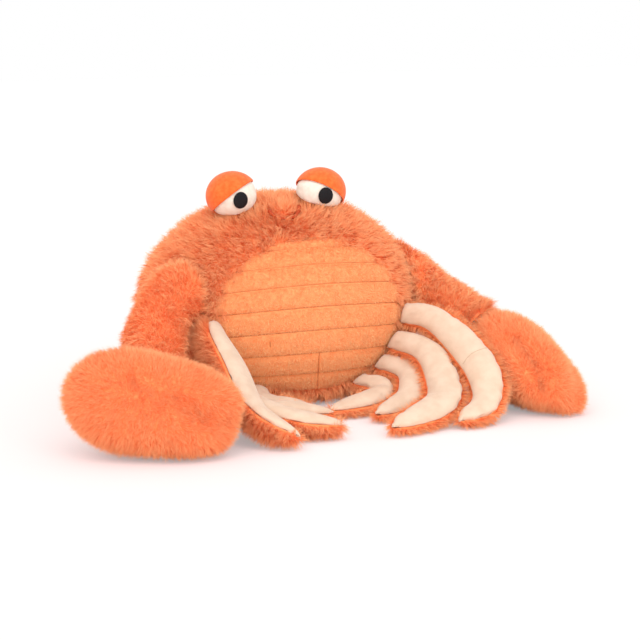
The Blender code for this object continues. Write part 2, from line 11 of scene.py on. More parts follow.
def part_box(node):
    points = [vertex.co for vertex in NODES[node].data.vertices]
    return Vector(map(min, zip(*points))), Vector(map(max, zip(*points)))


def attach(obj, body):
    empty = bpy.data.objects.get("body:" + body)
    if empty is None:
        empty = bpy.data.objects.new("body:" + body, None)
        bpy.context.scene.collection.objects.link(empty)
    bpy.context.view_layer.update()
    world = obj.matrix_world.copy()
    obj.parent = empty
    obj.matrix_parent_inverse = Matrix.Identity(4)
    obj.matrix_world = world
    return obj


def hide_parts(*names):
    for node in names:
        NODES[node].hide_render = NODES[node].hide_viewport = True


# Looks of the plush crab: fur, ribbed belly, suede legs, eyes, smile, floor, light and camera.
#
# Metres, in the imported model's frame: X is the crab's width, -Y its front, +Z up. A fur starts from
# its CAD solid, which is welded, subdivided and pressed in by the depth of its pile, and strands grow
# on it. The leg linings and the belly are blown up as cloth. Every strand is a narrow ribbon whose
# map, OFBake, says how far along the strand a point is and which tone the strand has, and the fur's
# colours read only that. The smile and the folds are lines of photograph pixels, cast onto the skins.

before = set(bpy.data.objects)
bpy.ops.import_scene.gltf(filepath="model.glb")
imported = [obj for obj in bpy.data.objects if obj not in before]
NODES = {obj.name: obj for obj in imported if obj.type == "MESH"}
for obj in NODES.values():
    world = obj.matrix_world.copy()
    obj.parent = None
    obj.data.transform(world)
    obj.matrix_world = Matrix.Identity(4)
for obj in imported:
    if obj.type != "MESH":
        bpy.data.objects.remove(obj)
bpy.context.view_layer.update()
SIDES = ("left", "right")
LEGS = [f"{side}_{number}" for side in SIDES for number in (1, 2, 3, 4)]

# Camera, at the photograph's viewing angle
VIEW_TURN = math.radians(-22.0)        # to the crab's right-hand side
VIEW_RISE = math.radians(10.5)
VIEW_DISTANCE = 1.35
VIEW_TARGET = Vector((0.0295, -0.0027, 0.0461))
PHOTO_SIZE = 640                       # pixels
PIXELS_PER_METRE = 1515.0              # at the target
SENSOR = 36.0

# Light
SKY_LEVEL = 0.90
KEY_LEVEL = 1.70
KEY_SOFTNESS = math.radians(70.0)
KEY_FROM = Vector((-0.30, -1.00, 0.88))
FLOOR_SIZE = 6.0
# white floor tinted pink: painted bounce light from the orange fur, seen in its shadow
FLOOR_PAINTED_BOUNCE_COLOUR = (1.0, 0.86, 0.84)
FLOOR_GLOW = 0.30                      # share of the floor that is plain white to the camera

# Skins: how far each is pressed in below the CAD solid's outer side, from where over the filling a
# point is on that outer side, and how full the padded pieces are
BODY_PRESS = 0.0050
LIMB_PRESS = 0.0033
LEG_PRESS = 0.0004
LINING_PRESS = 0.0005                  # and how far its lining is, to stay under it
OUTER_HEIGHT = {"body": 0.0041, "limb": 0.0026, "leg": 0.0021, "lining": 0.0016}
FURRY = 0.12                           # fur grows from here, with 0 the lining and 1 the outer side
OPEN_REACH = 0.0040                    # free way before a point that carries fur on a leg
FITTING_ROUNDS = 2                     # of bringing a subdivided skin back to the CAD's points

# Strand map: range of the strand's length in the map's height, and the ribbon's width in it
MAP_ROOT, MAP_TIP = 0.02, 0.42
MAP_WIDTH = 0.004

# Smile and cheek, as pixels of the photograph
SMILE = [(269.5, 211.5), (272.0, 215.0), (277.0, 217.8), (283.0, 219.0), (290.0, 219.0), (295.5, 217.0),
         (298.5, 212.5), (299.0, 207.0)]
CHEEK = [(297.0, 219.5), (304.0, 219.0), (309.0, 214.5)]
SMILE_DEPTH = 0.0022
SMILE_HALF_WIDTH = 0.0030
SMILE_THREAD_RADIUS = 0.0015           # at its ends
SMILE_THREAD_NEARNESS = 0.0072         # how far it lies before the dented skin, towards the camera
SMILE_DIMPLE_SHADE_HALF_WIDTH = 0.0024          # of the painted shade in the fur at its ends, its dimples
CHEEK_SHARE = 0.4                      # depth of the cheek's fold against the smile's
CHEEK_HALF_WIDTH = 0.0022              # of its darker fur, whose darkening is painted shade

# Claw creases: points on the cover, then depth, half width and the painted shade of the fur in them
CLAW_CREASE = {
    "left": [(-0.1442, -0.1522, 0.0496), (-0.1320, -0.1596, 0.0409), (-0.1185, -0.1632, 0.0359),
             (-0.1048, -0.1645, 0.0269)],
    "right": [(0.1172, -0.1119, 0.0479), (0.1185, -0.1259, 0.0408), (0.1195, -0.1377, 0.0304),
              (0.1199, -0.1413, 0.0197)],
}
CREASE_DEPTH = {"left": 0.0034, "right": 0.0062}
CREASE_HALF_WIDTH = 0.0062
CREASE_SHADE = {"left": 0.35, "right": 0.80}    # how much darker the fur is in it: painted shade
STUFFING_DENT = 2                      # how much deeper and wider the filling's dent is

# Where each fur is combed away from
MUZZLE = Vector((-0.0060, -0.0330, 0.1240))
CLAW_FOCUS = {"left": Vector((-0.1340, -0.1600, 0.0420)), "right": Vector((0.1180, -0.1330, 0.0330))}

# Belly
BODY_CENTRE = Vector((0.0, 0.0, 0.0580))
RIB_COUNT = 9
RIB_ARCH = 0.0055
TOP_GROOVE = math.radians(40.5)
RIB_ANGLE = math.radians(9.69)
RIB_ANGLE_GROWTH = math.radians(0.54)
GROOVE_DEPTH = 0.0016
GROOVE_HALF_WIDTH = 0.0015
GROOVE_SINK = 0.036                    # how far the grooves hang below the CAD's, as a share of the height
BELLY_PRESS = 0.0008
BELLY_BULGE = 0.0038
BELLY_EDGE_SINK = 0.0026
BELLY_TUCK = 1.070                     # the panel's size against its opening: its border lies under the fur
BELLY_COLUMNS = 72
ROWS_PER_RIB = 9
BELLY_ROWS = RIB_COUNT * ROWS_PER_RIB
ROW_POINTS = BELLY_COLUMNS + 1
BELLY_SHELL = 0.0024
BARE_GROOVE = 0.0008                   # half width of the strip without pile along a groove
GROOVE_SHADE = 0.0022                  # half width of the darker pile along a groove, painted shade
GROOVE_THREAD_RADIUS = 0.00048
DARTS = [[(319.5, 351.0), (318.5, 363.0), (318.0, 375.0), (317.0, 387.0)],    # pixels
         [(270.0, 340.5), (270.5, 347.5)]]

# Knee folds, as pixels of the photograph across the lining; some are sewn
KNEE_SEAMS = {
    "right_1": ((463.0, 364.0), (466.5, 358.5), (471.0, 354.0), (477.0, 350.7), (484.0, 348.4),
                (491.0, 347.2)),
    "right_2": ((429.0, 392.0), (463.0, 388.0)),
    "left_1": ((225.0, 380.0), (250.0, 371.0)),
}
SEWN_KNEES = ("right_1",)
SEAM_DEPTH = 0.0008
SEAM_HALF_WIDTH = 0.0014
THREAD_RADIUS = 0.00015

# Strands
BODY_STRANDS = 43000                   # in each of the body's three parts
ARM_STRANDS = 16000
CLAW_STRANDS = 54000
LEG_STRANDS = {"1": 17000, "2": 17000, "3": 10000, "4": 10000}
BELLY_STRANDS = 92000
BODY_SPLIT = 0.026                     # where the body's parts meet, to both sides of the middle
PART_OVERLAP = 0.003                   # how far the middle part reaches beyond that
BACK_SHARE = 0.42                      # how dense the fur of the back is, against the front's
DENSE_UNTIL, THINNING = 0.030, 0.050   # depth where the back's density is reached, and the way before it
LEG_STRETCH = {"left": 1.35, "right": 1.12}    # of a leg's fur: the left legs' backs show more
ROOT_REACH = 0.0090                    # how far from its seams an arm's fur turns back or is longer
EYE_REACH = 0.0060                     # how far from an eye the fur stands up before it
HEM_LENGTH, HEM_HEIGHT = 0.25, 0.020   # longer fur near the floor: share added, and how high it goes
UNDER_BELLY = 0.80                     # half width of the part below the belly, as a share of the belly's
BORDER_REACH = 0.0040                  # how far from the belly the body's fur turns over its border
DROOP = 0.04                           # how far a strand's tip hangs, as a share of its length
FLOOR_CLEARANCE = 0.0002
SHORTEST = 0.3                         # strands that would be shorter than this share are left out
LENGTH_RANGE = (0.45, 1.6)
STEEPEST = 1.40                        # most lean of a strand, in radians
TONE_SPREAD = (0.20, 0.14)             # from clump to clump, and from strand to strand
LEAN_SPREAD = (0.22, 0.15)
TURN_SPREAD = (0.7, 0.7)
ROLL_SPREAD = 0.7                      # how far a ribbon is rolled around its strand, in radians
BODY_FUR_FROM, CLAW_FUR_FROM = 0.0030, 0.0015    # heights over the floor below which no fur grows
WANDER, FINE_WANDER = 60.0, 170.0      # waves a metre of the comb's soft noise
NOISE_SEED = 11                        # without one the soft noise would differ from run to run

# Cloth simulation, run on enlarged copies because the solver is made for larger things
SIM_SCALE = 14.0
SIM_STEPS = 14
BELLY_PUFF = (5.0, 0.05, 0.0014)       # pressure, slack of the cloth, and most that a point moves
LINING_PUFF = (6.0, 0.04, 0.0012)


def points_of(mesh):
    """The mesh's points, as rows of an array."""
    found = np.empty(len(mesh.vertices) * 3, np.float32)
    mesh.vertices.foreach_get("co", found)
    return found.reshape(-1, 3).astype(float)


def normals_of(mesh):
    found = np.empty(len(mesh.vertices) * 3, np.float32)
    mesh.vertex_normals.foreach_get("vector", found)
    return found.reshape(-1, 3).astype(float)


def put_points(mesh, points):
    mesh.vertices.foreach_set("co", points.astype(np.float32).ravel())
    mesh.update()


def unit(vectors):
    return vectors / np.maximum(np.linalg.norm(vectors, axis=-1, keepdims=True), 1e-12)


def show(name, mesh, material, replaces=()):
    """Adds a finished mesh as a piece of the object."""
    mesh.materials.clear()
    mesh.materials.append(material)
    mesh.shade_smooth()
    piece = bpy.data.objects.new(name, mesh)
    bpy.context.scene.collection.objects.link(piece)
    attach(piece, "root")
    if replaces:
        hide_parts(*replaces)


def modified(mesh, kind, **values):
    """The mesh after one modifier."""
    holder = bpy.data.objects.new("holder", mesh)
    bpy.context.scene.collection.objects.link(holder)
    modifier = holder.modifiers.new(kind, kind)
    for key, value in values.items():
        setattr(modifier, key, value)
    depsgraph = bpy.context.evaluated_depsgraph_get()
    result = bpy.data.meshes.new_from_object(holder.evaluated_get(depsgraph))
    bpy.data.objects.remove(holder, do_unlink=True)
    return result


def welded(mesh):
    """The mesh with the points that lie on each other joined, and the flat faces between them gone."""
    data = bmesh.new()
    data.from_mesh(mesh)
    bmesh.ops.remove_doubles(data, verts=data.verts, dist=1e-6)
    joined = bpy.data.meshes.new(mesh.name)
    data.to_mesh(joined)
    data.free()
    return joined


def finer(node, levels, fillings=(), height=0.0):
    """A CAD node's mesh, welded and subdivided to a smooth skin that still goes through the CAD's points.

    Points higher than a height over the fillings are marked as outer.
    """
    data = bmesh.new()
    data.from_mesh(NODES[node].data)
    bmesh.ops.remove_doubles(data, verts=data.verts, dist=1e-6)
    bmesh.ops.join_triangles(data, faces=data.faces, angle_face_threshold=math.radians(50),
                             angle_shape_threshold=math.radians(70))
    bmesh.ops.recalc_face_normals(data, faces=data.faces)
    mesh = bpy.data.meshes.new(node)
    data.to_mesh(mesh)
    data.free()
    target = points_of(mesh)
    if fillings:
        outer = heights_over(target, tree_of(*fillings)) > height
        mesh.attributes.new("outer", "FLOAT", "POINT").data.foreach_set("value", outer.astype(np.float32))
    for _ in range(FITTING_ROUNDS):
        smooth = modified(mesh, "SUBSURF", levels=levels, render_levels=levels)
        put_points(mesh, points_of(mesh) + 0.9 * (target - points_of(smooth)[:len(target)]))
    return modified(mesh, "SUBSURF", levels=levels, render_levels=levels)


def outer_of(mesh):
    """How much each point belongs to a cover's outer side, from 0 at its lining to 1."""
    found = np.empty(len(mesh.vertices), np.float32)
    mesh.attributes["outer"].data.foreach_get("value", found)
    return found.astype(float)


def tree_of(*nodes):
    """Search tree over the faces of CAD nodes."""
    points, faces = [], []
    for node in nodes:
        mesh = NODES[node].data
        start = len(points)
        points += [vertex.co.copy() for vertex in mesh.vertices]
        faces += [[start + i for i in polygon.vertices] for polygon in mesh.polygons]
    return BVHTree.FromPolygons(points, faces)


def heights_over(points, tree):
    """Distance of each point from a tree's surface."""
    return np.array([tree.find_nearest(Vector(point))[3] for point in points])


def pressed(mesh, outer, depth, *fillings):
    """Moves a cover's outer side towards its fillings, and its lining a little."""
    tree = tree_of(*fillings)
    points = points_of(mesh)
    nearest = np.array([tree.find_nearest(Vector(point))[0] for point in points])
    share = np.clip(2.0 * outer, 0, 1)[:, None]
    inward = unit(points - nearest) * share * depth
    put_points(mesh, points - inward + normals_of(mesh) * (1 - share) * LINING_PRESS)


def open_air(mesh, *nodes):
    """Which points look into the open, with none of these CAD nodes close before them."""
    tree = tree_of(*nodes)
    hits = [tree.ray_cast(Vector(point) + 1e-4 * Vector(normal), Vector(normal), OPEN_REACH)[0]
            for point, normal in zip(points_of(mesh), normals_of(mesh))]
    return np.array([hit is None for hit in hits])


def distance_to_line(points, line):
    """Distance of each point from a line of straight pieces."""
    line = np.array(line)
    nearest = np.full(len(points), 1e9)
    for start, end in zip(line, line[1:]):
        along = end - start
        share = np.clip((points - start) @ along / (along @ along), 0, 1)
        nearest = np.minimum(nearest, np.linalg.norm(points - start - share[:, None] * along, axis=1))
    return nearest


def dented(mesh, outer, depth):
    """Presses a dent through both sides of a cover, whose lining faces the other way."""
    put_points(mesh, points_of(mesh) - normals_of(mesh) * ((2 * outer - 1) * depth)[:, None])


def hollow(points, line, depth, half_width):
    """How deep a soft crease along a line presses each point."""
    return depth * np.exp(-(distance_to_line(points, line) / half_width) ** 2)


def puff(mesh, sewn, pressure, slack, most):
    """Cloth simulation: blows a closed mesh up where it isn't sewn down.

    No point moves farther than most.
    """
    rest = points_of(mesh)
    put_points(mesh, rest * SIM_SCALE)
    holder = bpy.data.objects.new("cloth", mesh)
    scene = bpy.context.scene
    scene.collection.objects.link(holder)
    group = holder.vertex_groups.new(name="sewn")
    group.add([int(i) for i in np.flatnonzero(sewn)], 1.0, "REPLACE")
    cloth = holder.modifiers.new("Cloth", "CLOTH")
    settings = cloth.settings
    settings.quality = 4
    settings.mass = 0.15
    settings.tension_stiffness = 12
    settings.compression_stiffness = 12
    settings.shear_stiffness = 6
    settings.bending_stiffness = 0.15
    settings.use_pressure = True
    settings.uniform_pressure_force = pressure
    settings.shrink_min = -slack
    settings.vertex_group_mass = "sewn"
    settings.effector_weights.gravity = 0
    cloth.collision_settings.use_collision = False
    cloth.point_cache.frame_start = 1
    cloth.point_cache.frame_end = SIM_STEPS
    for step in range(1, SIM_STEPS + 1):
        scene.frame_set(step)
    depsgraph = bpy.context.evaluated_depsgraph_get()
    blown = points_of(holder.evaluated_get(depsgraph).data) / SIM_SCALE
    bpy.data.objects.remove(holder, do_unlink=True)
    scene.frame_set(1)
    move = blown - rest
    length = np.linalg.norm(move, axis=1, keepdims=True)
    put_points(mesh, rest + move * np.minimum(1, most / np.maximum(length, 1e-9)))


# Materials


def new_material(name, roughness, sheen, specular):
    """Principled material, with its node tree and its shader."""
    made = bpy.data.materials.new(name)
    made.use_nodes = True
    shader = made.node_tree.nodes["Principled BSDF"]
    shader.inputs["Roughness"].default_value = roughness
    shader.inputs["Sheen Weight"].default_value = sheen
    shader.inputs["Sheen Roughness"].default_value = 0.5
    shader.inputs["Specular IOR Level"].default_value = specular
    return made, made.node_tree, shader


def ramp(tree, factor, stops):
    """Colour ramp over a factor; stops are (place, colour)."""
    node = tree.nodes.new("ShaderNodeValToRGB")
    while len(node.color_ramp.elements) < len(stops):
        node.color_ramp.elements.new(0.5)
    for element, (place, colour) in zip(node.color_ramp.elements, stops):
        element.position = place
        element.color = (*colour, 1.0)
    tree.links.new(factor, node.inputs["Fac"])
    return node.outputs["Color"]


def mixed(tree, factor, first, second):
    node = tree.nodes.new("ShaderNodeMix")
    node.data_type = "RGBA"
    tree.links.new(factor, node.inputs["Factor"])
    tree.links.new(first, node.inputs["A"])
    tree.links.new(second, node.inputs["B"])
    return node.outputs["Result"]


def noise_of(tree, scale, detail):
    """Noise in the object's own metres; scale is in waves a metre."""
    place = tree.nodes.new("ShaderNodeTexCoord").outputs["Object"]
    node = tree.nodes.new("ShaderNodeTexNoise")
    node.inputs["Scale"].default_value = scale
    node.inputs["Detail"].default_value = detail
    tree.links.new(place, node.inputs["Vector"])
    return node.outputs["Fac"]


def bumped(tree, shader, height, distance):
    node = tree.nodes.new("ShaderNodeBump")
    node.inputs["Distance"].default_value = distance
    node.inputs["Strength"].default_value = 1.0
    tree.links.new(height, node.inputs["Height"])
    tree.links.new(node.outputs["Normal"], shader.inputs["Normal"])


def strand_material(name, deep, light):
    """Fur: deep and light are the colours of a dark and a pale strand, as (place along it, colour)."""
    made, tree, shader = new_material(name, 0.70, 0.06, 0.10)
    uv = tree.nodes.new("ShaderNodeUVMap")
    uv.uv_map = "OFBake"
    split = tree.nodes.new("ShaderNodeSeparateXYZ")
    tree.links.new(uv.outputs["UV"], split.inputs["Vector"])
    stretch = [[(MAP_ROOT + (MAP_TIP - MAP_ROOT) * place, colour) for place, colour in stops]
               for stops in (deep, light)]
    colours = [ramp(tree, split.outputs["Y"], stops) for stops in stretch]
    tree.links.new(mixed(tree, split.outputs["X"], *colours), shader.inputs["Base Color"])
    return made


def cloth_material(name, dark, pale, waves, fine, depth, roughness, sheen):
    """Fabric: mottled between two colours in soft waves, with a finer nap as bump of a depth."""
    made, tree, shader = new_material(name, roughness, sheen, 0.2)
    colour = ramp(tree, noise_of(tree, waves, 5.0), [(0.35, dark), (0.65, pale)])
    tree.links.new(colour, shader.inputs["Base Color"])
    bumped(tree, shader, noise_of(tree, fine, 2.0), depth)
    return made


def woven_material(name, dark, pale, pitch, depth, roughness, sheen):
    """Fabric with a fine weave of crossing threads."""
    made, tree, shader = new_material(name, roughness, sheen, 0.2)
    place = tree.nodes.new("ShaderNodeTexCoord").outputs["Object"]
    waves = []
    for direction in ("X", "Z"):
        wave = tree.nodes.new("ShaderNodeTexWave")
        wave.bands_direction = direction
        wave.inputs["Scale"].default_value = math.pi / (10 * pitch)
        wave.inputs["Distortion"].default_value = 1.2
        wave.inputs["Detail Scale"].default_value = 3.0
        tree.links.new(place, wave.inputs["Vector"])
        waves.append(wave.outputs["Fac"])
    product = tree.nodes.new("ShaderNodeMath")
    product.operation = "MULTIPLY"
    for value, socket in zip(waves, product.inputs):
        tree.links.new(value, socket)
    mottle = ramp(tree, noise_of(tree, 260.0, 4.0), [(0.35, dark), (0.65, pale)])
    tree.links.new(mottle, shader.inputs["Base Color"])
    bumped(tree, shader, product.outputs["Value"], depth)
    return made


def thread_material(name, dark, pale, pitch, depth):
    """Satin stitches: fine threads side by side, with a soft gloss."""
    made, tree, shader = new_material(name, 0.55, 0.0, 0.25)
    wave = tree.nodes.new("ShaderNodeTexWave")
    wave.bands_direction = "DIAGONAL"
    wave.inputs["Scale"].default_value = math.pi / (10 * pitch)
    wave.inputs["Distortion"].default_value = 2.0
    wave.inputs["Detail Scale"].default_value = 2.0
    tree.links.new(tree.nodes.new("ShaderNodeTexCoord").outputs["Object"], wave.inputs["Vector"])
    tree.links.new(ramp(tree, wave.outputs["Fac"], [(0.2, dark), (0.8, pale)]), shader.inputs["Base Color"])
    bumped(tree, shader, wave.outputs["Fac"], depth)
    return made


# Each strand runs from a darker, more saturated root to a paler tip: painted shade deep in the fur and
# painted light on its tips.
FUR = strand_material(
    "body fur",
    [(0.0, (1.00, 0.215, 0.062)), (0.45, (1.00, 0.325, 0.120)), (1.0, (1.00, 0.430, 0.190))],
    [(0.0, (1.00, 0.275, 0.092)), (0.45, (1.00, 0.430, 0.185)), (1.0, (1.00, 0.570, 0.315))])
LIMB_FUR = strand_material(
    "limb fur",
    [(0.0, (1.00, 0.250, 0.080)), (0.45, (1.00, 0.340, 0.128)), (1.0, (1.00, 0.430, 0.190))],
    [(0.0, (1.00, 0.310, 0.112)), (0.45, (1.00, 0.455, 0.200)), (1.0, (1.00, 0.580, 0.325))])
BELLY_PILE = strand_material(
    "belly pile",
    [(0.0, (1.00, 0.340, 0.120)), (0.5, (1.00, 0.470, 0.190)), (1.0, (1.00, 0.580, 0.275))],
    [(0.0, (1.00, 0.420, 0.165)), (0.5, (1.00, 0.580, 0.275)), (1.0, (1.00, 0.700, 0.400))])
FUR_CLOTH = cloth_material("fur cloth", (1.00, 0.270, 0.090), (1.00, 0.360, 0.135),
                           180.0, 1800.0, 0.0004, 0.9, 0.1)
BELLY_CLOTH = cloth_material("belly cloth", (0.98, 0.330, 0.115), (1.00, 0.460, 0.185),
                             220.0, 2200.0, 0.0004, 0.9, 0.1)
SUEDE = cloth_material("cream suede", (0.72, 0.520, 0.375), (0.79, 0.600, 0.450),
                       130.0, 2600.0, 0.00012, 0.85, 0.25)
LID_FELT = cloth_material("lid felt", (0.84, 0.125, 0.018), (0.93, 0.180, 0.034),
                          400.0, 3000.0, 0.00010, 0.8, 0.2)
FIBRE = cloth_material("fibre filling", (0.70, 0.700, 0.680), (0.88, 0.880, 0.860),
                       90.0, 900.0, 0.0008, 0.95, 0.2)
EYE_CLOTH = woven_material("eye cloth", (0.84, 0.750, 0.630), (0.94, 0.860, 0.750),
                           0.00045, 0.00008, 0.8, 0.2)
POUCH = woven_material("pouch cloth", (0.58, 0.560, 0.510), (0.72, 0.700, 0.640),
                       0.00060, 0.00012, 0.9, 0.1)
PUPIL_THREAD = thread_material("pupil thread", (0.002, 0.002, 0.003), (0.010, 0.010, 0.012),
                               0.00035, 0.00010)
SMILE_THREAD = thread_material("smile thread", (0.50, 0.055, 0.012), (0.62, 0.088, 0.022),
                               0.00040, 0.00010)
GROOVE_THREAD = thread_material("groove thread", (0.66, 0.200, 0.065), (0.78, 0.280, 0.100),
                                0.00040, 0.00005)
SEAM_THREAD = thread_material("seam thread", (0.52, 0.350, 0.230), (0.64, 0.450, 0.300),
                              0.00040, 0.00005)


# Fur


class Nap:
    """How a fur grows: lengths in metres, leans in radians from the skin's normal."""

    def __init__(self, length, spread, lean, width, clump, pull, swirl, turn, curl, ragged, simple=False):
        self.length = length           # of a strand
        self.spread = spread           # how much a clump's length varies, as a share
        self.lean = lean               # of a strand's lower half; the upper half leans more
        self.width = width             # of a ribbon at its root
        self.clump = clump             # distance between clumps
        self.pull = pull               # how far a tip is drawn to its clump's tip
        self.swirl = swirl             # how far the comb wanders
        self.turn = turn               # how far a strand turns from the comb, in radians
        self.curl = curl               # lean of a strand's upper half, as a share of lean
        self.ragged = ragged           # unevenness from strand to strand
        self.simple = simple           # straight strands of one triangle


BODY_NAP = Nap(0.0080, 0.17, math.radians(26), 0.00027, 0.0024, 0.28, 1.00, 0.9, 1.7, 0.20)
ARM_NAP = Nap(0.0067, 0.14, math.radians(30), 0.00028, 0.0021, 0.26, 0.80, 0.8, 1.7, 0.18)
CLAW_NAP = Nap(0.0050, 0.09, math.radians(32), 0.00023, 0.0014, 0.18, 0.90, 0.8, 1.2, 0.24, simple=True)
LEG_NAP = Nap(0.0056, 0.12, math.radians(26), 0.00031, 0.0018, 0.22, 0.70, 0.8, 1.2, 0.16, simple=True)
BELLY_NAP = Nap(0.0011, 0.12, math.radians(42), 0.00028, 0.0011, 0.20, 0.35, 0.6, 1.2, 0.12, simple=True)


def spread_roots(mesh, chosen, count, rng, density=None):
    """Points spread over the faces whose points are all chosen, with the skin's smooth normals."""
    mesh.calc_loop_triangles()
    corners = np.empty(len(mesh.loop_triangles) * 3, np.int32)
    mesh.loop_triangles.foreach_get("vertices", corners)
    corners = corners.reshape(-1, 3)
    corners = corners[chosen[corners].all(axis=1)]
    points, normals = points_of(mesh), normals_of(mesh)
    a, b, c = (points[corners[:, k]] for k in range(3))
    areas = np.linalg.norm(np.cross(b - a, c - a), axis=1)
    shares = areas if density is None else areas * density((a + b + c) / 3)
    picked = rng.choice(len(corners), count, p=shares / shares.sum())
    first, second = np.sqrt(rng.random(count)), rng.random(count)
    weights = np.stack([1 - first, first * (1 - second), first * second], axis=1)[:, :, None]
    at = (points[corners[picked]] * weights).sum(axis=1)
    return at, unit((normals[corners[picked]] * weights).sum(axis=1))


def clumps_of(roots, spacing, rng):
    """For each root, the number of its clump; the clumps' middles are roots themselves."""
    seeds = rng.permutation(len(roots))
    cell = np.floor(roots[seeds] / spacing).astype(np.int64)
    _, first = np.unique(cell, axis=0, return_index=True)
    middles = seeds[first]
    tree = KDTree(len(middles))
    for i, root in enumerate(middles):
        tree.insert(Vector(roots[root]), i)
    tree.balance()
    return middles, np.array([tree.find(Vector(root))[1] for root in roots])


def away_from(focus):
    """Comb that leads away from a place."""
    return lambda points: unit(points - np.array(focus))


def combed(roots, normals, comb, swirl):
    """Direction of the nap on the skin: the comb's, wandering with a soft noise."""
    away = comb(roots)
    wander = np.array([noise.noise_vector(Vector(root) * WANDER) for root in roots])
    wander += 0.6 * np.array([noise.noise_vector(Vector(root) * FINE_WANDER) for root in roots])
    way = away + swirl * wander
    way -= normals * (way * normals).sum(axis=1, keepdims=True)
    return unit(way)


def grow(name, skin, chosen, count, nap, combing, seed, neighbours=None, trim=None, density=None):
    """Mesh of strands on a skin. trim gives each root's share of the full length and its darkening, which
    is painted shade in creases and grooves.
    """
    rng = np.random.default_rng(seed)
    roots, normals = spread_roots(skin, chosen, count, rng, density)
    middles, clump = clumps_of(roots, nap.clump, rng)
    comb = combed(roots[middles], normals[middles], combing, nap.swirl)[clump]
    comb = unit(comb - normals * (comb * normals).sum(axis=1, keepdims=True))

    def varied(of_clump, of_strand):
        return of_clump * rng.standard_normal(len(middles))[clump] + of_strand * rng.standard_normal(count)

    length = nap.length * np.clip(1 + varied(nap.spread, nap.ragged), *LENGTH_RANGE)
    tone = 0.5 + varied(*TONE_SPREAD)
    if trim:
        share, dark = trim(roots)
        length = length * share
        # darker tone from trim: painted shade
        tone = tone - dark
    lean = nap.lean * (1 + varied(*LEAN_SPREAD))
    turn = nap.turn * varied(*TURN_SPREAD)
    flat = comb * np.cos(turn)[:, None] + np.cross(normals, comb) * np.sin(turn)[:, None]
    low, high = (normals * np.cos(angle)[:, None] + flat * np.sin(angle)[:, None]
                 for angle in (0.8 * lean, np.minimum(nap.curl * lean, STEEPEST)))
    if neighbours:
        length = np.minimum(length, 0.9 * free_way(roots, low + high, length, neighbours))
    kept = length > SHORTEST * nap.length
    middle = roots + low * (0.5 * length)[:, None]
    tip = middle + high * (0.5 * length)[:, None]
    tip[:, 2] -= DROOP * length
    pull = nap.pull * np.clip(0.8 + 0.3 * rng.standard_normal(count), 0, 1.3)[:, None]
    middle = middle + (middle[middles][clump] - middle) * pull * 0.4
    tip = tip + (tip[middles][clump] - tip) * pull
    for level in (middle, tip):
        level[:, 2] = np.maximum(level[:, 2], FLOOR_CLEARANCE)
    half = 0.5 * nap.width * rolled(roots, tip, normals, rng)
    corners = [roots - half, roots + half, tip]
    if not nap.simple:
        corners = [roots - 0.8 * half, roots + 0.8 * half, middle - half, middle + half, tip]
    return strand_mesh(name, np.stack(corners, axis=1)[kept], np.clip(tone[kept], 0.02, 0.98))


def free_way(roots, ways, lengths, neighbours):
    """How far each strand can go, up to its length, before it meets a neighbour."""
    return np.array([neighbours.ray_cast(Vector(root), Vector(way), far)[3] or far
                     for root, way, far in zip(roots, ways, lengths)])


def rolled(roots, tips, normals, rng):
    """Which way each ribbon is wide: across its strand, and rolled around it at random."""
    across = unit(np.cross(tips - roots, normals))
    roll = ROLL_SPREAD * rng.standard_normal(len(roots))
    outward = unit(np.cross(across, tips - roots))
    return across * np.cos(roll)[:, None] + outward * np.sin(roll)[:, None]


STRAND_SHAPES = {    # points a strand: its faces, and where each of their corners lies, across and along
    5: ([(0, 1, 3, 2), (2, 3, 4)],
        [(-1, 0.0), (1, 0.0), (1, 0.5), (-1, 0.5), (-1, 0.5), (1, 0.5), (0, 1.0)]),
    3: ([(0, 1, 2)], [(-1, 0.0), (1, 0.0), (0, 1.0)]),
}


def strand_mesh(name, corners, tone):
    """Ribbons with their map: across it a strand's tone, along it the way from root to tip."""
    count, points = corners.shape[:2]
    faces, places = STRAND_SHAPES[points]
    order = [point for face in faces for point in face]
    starts = np.cumsum([0] + [len(face) for face in faces[:-1]])
    mesh = bpy.data.meshes.new(name)
    mesh.vertices.add(count * points)
    mesh.loops.add(count * len(order))
    mesh.polygons.add(count * len(faces))
    mesh.vertices.foreach_set("co", corners.astype(np.float32).ravel())
    strand = np.arange(count)[:, None]
    mesh.loops.foreach_set("vertex_index", (strand * points + np.array(order)).astype(np.int32).ravel())
    mesh.polygons.foreach_set("loop_start", (strand * len(order) + starts).astype(np.int32).ravel())
    mesh.update(calc_edges=True)
    across, along = np.array(places).T
    uv = np.stack([tone[:, None] + across * MAP_WIDTH / 2,
                   np.broadcast_to(MAP_ROOT + (MAP_TIP - MAP_ROOT) * along, (count, len(order)))], axis=2)
    mesh.uv_layers.new(name="OFBake").data.foreach_set("uv", uv.astype(np.float32).ravel())
    return mesh


# Body, belly and smile


def belly_border(points):
    """How much the fur turns over the belly's border, less than 0 at its top, and the way over it."""
    low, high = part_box("belly_panel")
    middle, half = (low + high) / 2, (high - low) / 2
    x, z = (points[:, 0] - middle.x) / half.x, (points[:, 2] - BODY_CENTRE.z) / half.z
    ring = np.hypot(x, z)
    off = (ring - 1) * (half.x + half.z) / 2
    near = np.exp(-(np.clip(off, 0, None) / BORDER_REACH) ** 2) * (points[:, 1] < 0)
    near = near * np.where(z > 0.25, -0.9, np.clip(0.6 + 1.2 * z, 0, 0.6))
    return near, -unit(np.stack([x / half.x, np.zeros(len(x)), z / half.z], axis=1))


def under_belly(points):
    """Which points are just below the belly, where the body's fur hangs down to the floor."""
    low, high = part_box("belly_panel")
    middle, half = (low + high) / 2, (high - low) / 2
    aside = np.abs(points[:, 0] - middle.x) < UNDER_BELLY * half.x
    return aside & (points[:, 1] < 0) & (points[:, 2] < BODY_CENTRE.z - 0.8 * half.z)


